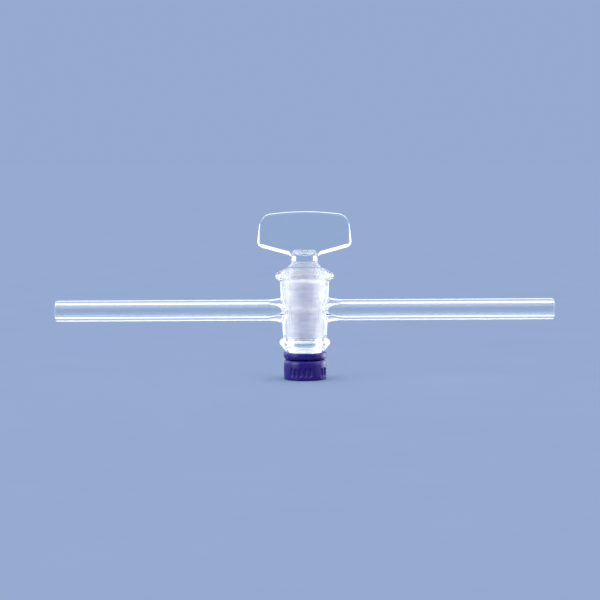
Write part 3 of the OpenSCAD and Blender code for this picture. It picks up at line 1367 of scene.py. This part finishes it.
@dataclass
class SealRing:
    """Squeezed O-ring in the nut's bed."""

    layout: Layout
    cord: float = 1.78
    columns: int = 128

    def build(self) -> bpy.types.Object:
        """Makes the ring.

        Returns:
            The object.
        """
        skin = Skin()
        lathe = Lathe(skin)
        lay = self.layout
        middle = (lay.ring_radius - self.cord / 2, (lay.ring_low + lay.ring_high) / 2)
        angles = np.linspace(0, 2 * math.pi, self.columns + 1)[:-1]
        rows = [lathe.row((r, max(lay.ring_low, min(lay.ring_high, z))), angles)
                for r, z in arc(middle, self.cord / 2, 0, 345, 23)]
        lathe.chain([*rows, rows[0]])
        LOG.info("seal ring squeezed to %.2f mm", lay.ring_high - lay.ring_low)
        return skin.piece("seal_o_ring", 60.0)


@dataclass
class Nut:
    """Ribbed plastic nut on the shank's thread."""

    layout: Layout
    bevel: float = 0.3
    shoulder: float = 1.5
    draw: float = 0.95
    bed: float = 5.88
    edge_soft: float = 0.15
    thread: float = 3.55
    thread_depth: float = 0.42
    thread_share: float = 0.9
    thread_ends: Point2 = (0.4, 0.1)
    thread_fade: float = 0.5
    row_step: float = 0.12
    pitch: float = 1.5
    groups: int = 4
    in_group: int = 5
    step: float = 13.0
    cutter: float = 1.0
    depth: float = 0.45
    start: float = 1.0
    stop: float = 5.1
    turn: float = -102.5
    columns: int = 240

    def _thread(self, r: float, z: float, turn: float) -> float:
        """Radius of the nut's own thread.

        Args:
            r: Radius of the plain hole.
            z: Height.
            turn: Angle.

        Returns:
            The radius.
        """
        low, high = self.thread_ends[0], self.layout.ring_low - self.thread_ends[1]
        fade = clamped((z - low) / self.thread_fade) * clamped((high - z) / self.thread_fade)
        return r - fade * self.thread_depth * groove(z, turn, self.pitch) * self.thread_share

    def _blank(self) -> bpy.types.Object:
        """Makes the nut before its flutes are cut.

        Returns:
            The object.
        """
        skin = Skin()
        lathe = Lathe(skin)
        radius, top, foot = self.layout.nut_radius, self.layout.nut_top, self.layout.ring_low
        angles = np.linspace(0, 2 * math.pi, self.columns + 1)[:-1]
        outside = [(self.thread + self.bevel, 0.0), (radius - self.bevel, 0.0),
                   (radius, self.bevel)]
        outside += [(radius - self.draw + self.draw * math.cos(a),
                     top - self.shoulder + self.shoulder * math.sin(a))
                    for a in np.radians(np.linspace(0, 90, 14))]
        outside += [(self.bed, top), (self.bed, foot)]
        rows = [lathe.row(p, angles) for p in softened(outside, self.edge_soft, turn=25)]
        heights = (*np.arange(foot, self.bevel, -self.row_step), self.bevel)
        bore = [lathe.row((self.thread, z), angles, self._thread) for z in heights]
        lathe.chain([*rows, *bore, rows[0]])
        return skin.piece("nut_blank")

    def _cutter(self) -> bpy.types.Object:
        """Makes the round-ended rod that leaves one flute.

        Returns:
            The object.
        """
        skin = Skin()
        lathe = Lathe(skin)
        angles = np.linspace(0, 2 * math.pi, 33)[:-1]
        profile = arc((0, self.start + self.cutter), self.cutter, -80, 0, 8)
        profile += arc((0, self.stop - self.cutter), self.cutter, 0, 80, 8)
        rows = [lathe.row(p, angles) for p in profile]
        lathe.chain(rows)
        skin.cap(rows[0], (0, 0, self.start))
        skin.cap(rows[-1], (0, 0, self.stop))
        return skin.piece("flute_cutter")

    def _flute_tree(self, material: bpy.types.Material) -> bpy.types.NodeTree:
        """Geometry nodes that cut groups of flutes round a nut.

        Args:
            material: Finish of the cut nut.

        Returns:
            The tree, with named inputs for its sizes.
        """
        tree = bpy.data.node_groups.new("finger_flutes", "GeometryNodeTree")
        distance = (self.layout.nut_radius + self.cutter - self.depth) * MM
        for name, kind, value in (
                ("Geometry", "Geometry", None), ("Cutter", "Object", None),
                ("Groups", "Int", self.groups), ("Flutes in Group", "Int", self.in_group),
                ("Pitch", "Float", math.radians(self.step)),
                ("Turn", "Float", math.radians(self.turn)), ("Distance", "Float", distance)):
            made = tree.interface.new_socket(name, in_out="INPUT", socket_type=f"NodeSocket{kind}")
            if value is not None:
                made.default_value = value
        tree.interface.new_socket("Geometry", in_out="OUTPUT", socket_type="NodeSocketGeometry")
        nodes = Nodes(tree)
        calc = nodes.math
        given, end = nodes.add("NodeGroupInput").outputs, nodes.add("NodeGroupOutput")
        groups, in_group, out = given["Groups"], given["Flutes in Group"], given["Distance"]
        line = nodes.add("GeometryNodeMeshLine")
        nodes.link(calc("MULTIPLY", groups, in_group), line.inputs["Count"])
        # each flute's group, and its place inside the group
        index = nodes.add("GeometryNodeInputIndex").outputs[0]
        group = calc("FLOOR", calc("ADD", calc("DIVIDE", index, in_group), 0.0001))
        place = calc("SUBTRACT", index, calc("MULTIPLY", group, in_group))
        middle = calc("MULTIPLY", calc("SUBTRACT", in_group, 1.0), 0.5)
        angle = calc("MULTIPLY", calc("SUBTRACT", place, middle), given["Pitch"])
        between = calc("MULTIPLY", group, calc("DIVIDE", 2 * math.pi, groups))
        angle = calc("ADD", calc("ADD", angle, between), given["Turn"])
        where = nodes.whole(calc("MULTIPLY", calc("COSINE", angle), out),
                            calc("MULTIPLY", calc("SINE", angle), out))
        put = nodes.add("GeometryNodeSetPosition")
        source = nodes.add("GeometryNodeObjectInfo")
        copies = nodes.add("GeometryNodeInstanceOnPoints")
        cut = nodes.add("GeometryNodeMeshBoolean", operation="DIFFERENCE", solver="EXACT")
        real = nodes.add("GeometryNodeRealizeInstances")
        finish = nodes.add("GeometryNodeSetMaterial")
        finish.inputs["Material"].default_value = material
        for made, target in (
                (line.outputs["Mesh"], put.inputs["Geometry"]),
                (where, put.inputs["Position"]),
                (given["Cutter"], source.inputs["Object"]),
                (put.outputs["Geometry"], copies.inputs["Points"]),
                (source.outputs["Geometry"], copies.inputs["Instance"]),
                (given["Geometry"], cut.inputs["Mesh 1"]),
                (copies.outputs[0], cut.inputs["Mesh 2"]),
                (cut.outputs["Mesh"], real.inputs["Geometry"]),
                (real.outputs[0], finish.inputs["Geometry"]),
                (finish.outputs[0], end.inputs[0])):
            nodes.link(made, target)
        return tree

    def build(self, material: bpy.types.Material) -> bpy.types.Object:
        """Makes the nut with its flutes.

        Args:
            material: Its finish.

        Returns:
            The object.
        """
        blank, cutter = self._blank(), self._cutter()
        tree = self._flute_tree(material)
        modifier = blank.modifiers.new("flutes", "NODES")
        modifier.node_group = tree
        sockets = {s.name: s.identifier for s in tree.interface.items_tree if s.in_out == "INPUT"}
        modifier[sockets["Cutter"]] = cutter
        modifier[sockets["Groups"]] = self.groups
        modifier[sockets["Flutes in Group"]] = self.in_group
        bpy.context.view_layer.update()
        graph = bpy.context.evaluated_depsgraph_get()
        mesh = bpy.data.meshes.new_from_object(blank.evaluated_get(graph), depsgraph=graph)
        blank.modifiers.clear()
        for spare in (blank, cutter):
            bpy.data.objects.remove(spare)
        mesh.name = "keeper_ribbed_nut"
        made = placed(mesh, 28.0)
        LOG.info("%s: %d flutes cut", made.name, self.groups * self.in_group)
        return made


# ---------------------------------------------------------------- bench and light

@dataclass(frozen=True)
class SoftBox:
    """One lamp that the camera doesn't see: its place, the way it faces, size, and what it lights.

    Its tone is how bright its face is, where 1 is plain white.
    """

    name: str
    place: Point3
    facing: Point3
    size: Point2
    tone: float
    lit: str

    def hang(self, lit: bpy.types.Collection) -> None:
        """Hangs the lamp.

        Args:
            lit: The pieces that it lights.
        """
        data = bpy.data.lights.new(self.name, "AREA")
        data.shape = "RECTANGLE"
        data.size, data.size_y = self.size
        data.energy = self.tone * math.pi * self.size[0] * self.size[1]
        lamp = bpy.data.objects.new(self.name, data)
        lamp.location = self.place
        lamp.rotation_euler = Vector(self.facing).to_track_quat("-Z", "Y").to_euler()
        lamp.visible_camera = False
        lamp.light_linking.receiver_collection = lit
        bpy.context.scene.collection.objects.link(lamp)


SOFT_BOXES = (
    SoftBox("box_left", (-0.22, 0.13, 0.15), (1, 0, 0), (0.50, 0.30), 1.4, "pieces"),
    SoftBox("box_right", (0.22, 0.13, 0.15), (-1, 0, 0), (0.50, 0.30), 1.8, "pieces"),
    SoftBox("box_top", (0.0, 0.1, 0.75), (0, -0.1, -0.72), (0.9, 0.5), 1.5, "pieces"),
    SoftBox("box_under", (0.0, 0.0, 0.0006), (0, 0, 1), (0.20, 0.044), 1.1, "glass"),
    SoftBox("box_under_handle", (0.0, 0.0575, 0.0006), (0, 0, 1), (0.10, 0.055), 0.95, "key"),
    SoftBox("box_behind_handle", (0.0, 0.55, 0.40), (0, -0.55, -0.35), (0.7, 0.42), 1.0, "key"),
    SoftBox("box_front_left", (-0.45, -0.30, 0.16), (0.45, 0.30, -0.15), (0.35, 0.32), 4.5,
            "keeper"),
    SoftBox("strip_side", (0.034, 0.016, 0.0065), (-0.9, -0.42, 0), (0.030, 0.012), 3.0, "keeper"),
)


@dataclass
class Studio:
    """Pale bench, light and camera."""

    target: Point3 = (-0.0018, 0.0, 0.0303)
    distance: float = 0.7633
    elevation: float = 4.0
    lens: float = 120.0
    roll: float = -0.3
    floor_half: float = 60.0
    floor_colour: Point3 = (0.32, 0.405, 0.585)
    floor_mottle: float = 1.02
    sky: Point3 = (1.18, 1.20, 1.24)
    rise: Point2 = (0.28, 0.72)
    bounces: int = 64

    def bench(self) -> None:
        """Makes the floor."""
        mesh, half = bpy.data.meshes.new("bench"), self.floor_half
        corners = [(-half, -half, 0), (half, -half, 0), (half, half, 0), (-half, half, 0)]
        mesh.from_pydata(corners, [], [(0, 1, 2, 3)])
        floor = bpy.data.objects.new("bench", mesh)
        bpy.context.scene.collection.objects.link(floor)
        material, nodes = new_material("bench_paper")
        out, paper = nodes.add("ShaderNodeOutputMaterial"), nodes.add("ShaderNodeBsdfDiffuse")
        shade = nodes.span(nodes.noise(nodes.place(), 25.0, 5.0), 0.3, 0.7)
        light = tuple(min(1.0, c * self.floor_mottle) for c in self.floor_colour)
        nodes.link(nodes.blend(shade, self.floor_colour, light), paper.inputs["Color"])
        nodes.link(paper.outputs[0], out.inputs["Surface"])
        mesh.materials.append(material)

    def _horizon(self) -> tuple[float, ...]:
        """Tone of the far bench under the sky, so that the two meet without a line.

        Returns:
            The colour.
        """
        low, top = self.rise
        width = top - low
        # share of the bench's light that comes from the bright upper sky
        high = 1 - top ** 2 + width * low + 0.7 * width ** 2
        pairs = zip(self.floor_colour, self.sky)
        return tuple(high * paper * sky / (1 - (1 - high) * paper) for paper, sky in pairs)

    def world(self) -> None:
        """Sets a pale sky that meets the bench softly."""
        world = bpy.data.worlds.new("soft_room")
        bpy.context.scene.world = world
        world.use_nodes = True
        nodes = Nodes(world.node_tree)
        out, sky = nodes.add("ShaderNodeOutputWorld"), nodes.add("ShaderNodeBackground")
        up = nodes.parts(nodes.add("ShaderNodeTexCoord").outputs["Generated"])["Z"]
        rise = nodes.span(up, *self.rise)
        nodes.link(nodes.blend(rise, self._horizon(), self.sky), sky.inputs["Color"])
        nodes.link(sky.outputs[0], out.inputs["Surface"])

    def camera(self) -> None:
        """Places the camera in front, a little above the tubes."""
        data = bpy.data.cameras.new("view")
        data.lens, data.sensor_width, data.clip_start = self.lens, 36.0, 0.01
        camera = bpy.data.objects.new("view", data)
        up = math.radians(self.elevation)
        away = Vector((0, -math.cos(up), math.sin(up))) * self.distance
        camera.location = Vector(self.target) + away
        turned = (-away).to_track_quat("-Z", "Y").to_matrix()
        rolled = Matrix.Rotation(math.radians(self.roll), 3, "Z")
        camera.rotation_euler = (turned @ rolled).to_euler()
        bpy.context.scene.collection.objects.link(camera)
        bpy.context.scene.camera = camera

    def build(self, lit: dict[str, bpy.types.Collection]) -> None:
        """Sets up the bench, the light and the camera.

        Args:
            lit: Groups of pieces that a lamp may be kept to, by name.
        """
        bpy.context.scene.view_settings.view_transform = "Standard"
        cycles = bpy.context.scene.cycles
        # light that runs on inside the glass ends black where it is cut short
        cycles.max_bounces = cycles.transmission_bounces = cycles.glossy_bounces = self.bounces
        self.bench()
        self.world()
        for box in SOFT_BOXES:
            box.hang(lit[box.lit])
        self.camera()


# ---------------------------------------------------------------- assembly

class Stopcock:
    """The whole stopcock, piece by piece."""

    def __init__(self) -> None:
        """Reads the sizes and builds the finishes."""
        self.layout = Layout.from_frame()
        self.fit = GroundFit(self.layout)
        self.effects = Effects()
        self.lit = {name: bpy.data.collections.new(f"lit_{name}")
                    for name in ("pieces", "glass", "key", "keeper")}

    def _keep(self, piece: bpy.types.Object, body: str, slot: Slot, nodes: Sequence[str],
              material: Optional[bpy.types.Material]) -> None:
        """Dresses a piece and ties it to its body.

        Args:
            piece: The finished object.
            body: The body that it rides on.
            slot: Its finish slot.
            nodes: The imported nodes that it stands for.
            material: Its finish, if it has none yet.
        """
        if material is not None:
            piece.data.materials.clear()
            piece.data.materials.append(material)
        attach(piece, body)
        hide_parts(*nodes)
        groups = {Slot.BARREL: ("pieces", "glass"), Slot.KEY: ("pieces", "glass", "key")}
        for group in groups.get(slot, ("pieces", "keeper")):
            self.lit[group].objects.link(piece)
        LOG.info("%s rides on %s", piece.name, body)

    def build(self) -> None:
        """Builds and dresses every piece."""
        lay, fit, effects = self.layout, self.fit, self.effects
        body, key = GlassBody(lay, fit), Key(lay, fit)
        # the second and third colours of each glass are painted shade over the ground band, grey
        # with darker patches
        barrel_glass = GlassFinish(
            "clear_tube_glass", (0.955, 0.985, 0.985), (0.86, 0.83, 0.86), (0.70, 0.65, 0.69),
            fit.bore(fit.top) * MM, fit.top * MM, (key.ground_bottom - 0.3) * MM,
            (lay.reach - body.end_round) * MM)
        key_glass = GlassFinish(
            "clear_key_glass", (0.93, 0.975, 0.965), (0.84, 0.80, 0.84), (0.68, 0.63, 0.67),
            fit.cone(fit.top) * MM, fit.top * MM, key.ground_bottom * MM, lay.reach * MM)
        violet = (0.010, 0.0012, 0.13), (0.015, 0.002, 0.17)
        washer = MouldedFinish("violet_washer_plastic", *violet, 0.24, 0.25, 0.4)
        rubber = MouldedFinish("black_rubber", (0.018, 0.018, 0.02), (0.03, 0.03, 0.032), 0.55, 0.5)
        nut = MouldedFinish("violet_nut_plastic", *violet, 0.26, 0.35, 0.4).make(effects)
        for made, finish, rides_on, slot, nodes in (
                (body, barrel_glass, "barrel", Slot.BARREL, ("barrel", "left_tube", "right_tube")),
                (key, key_glass, "key", Slot.KEY, ("key",)),
                (Washer(lay), washer, "seal", Slot.WASHER, ("washer",)),
                (SealRing(lay), rubber, "seal", Slot.SEAL, ("o_ring",))):
            self._keep(made.build(), rides_on, slot, nodes, finish.make(effects))
        self._keep(Nut(lay).build(nut), "nut", Slot.NUT, ("retaining_nut",), None)


def main() -> None:
    """Builds the object and its studio."""
    logging.basicConfig(level=logging.INFO, format="%(name)s: %(message)s")
    stopcock = Stopcock()
    Studio().build(stopcock.lit)
    stopcock.build()
    bpy.context.view_layer.update()


if __name__ == "__main__":
    main()
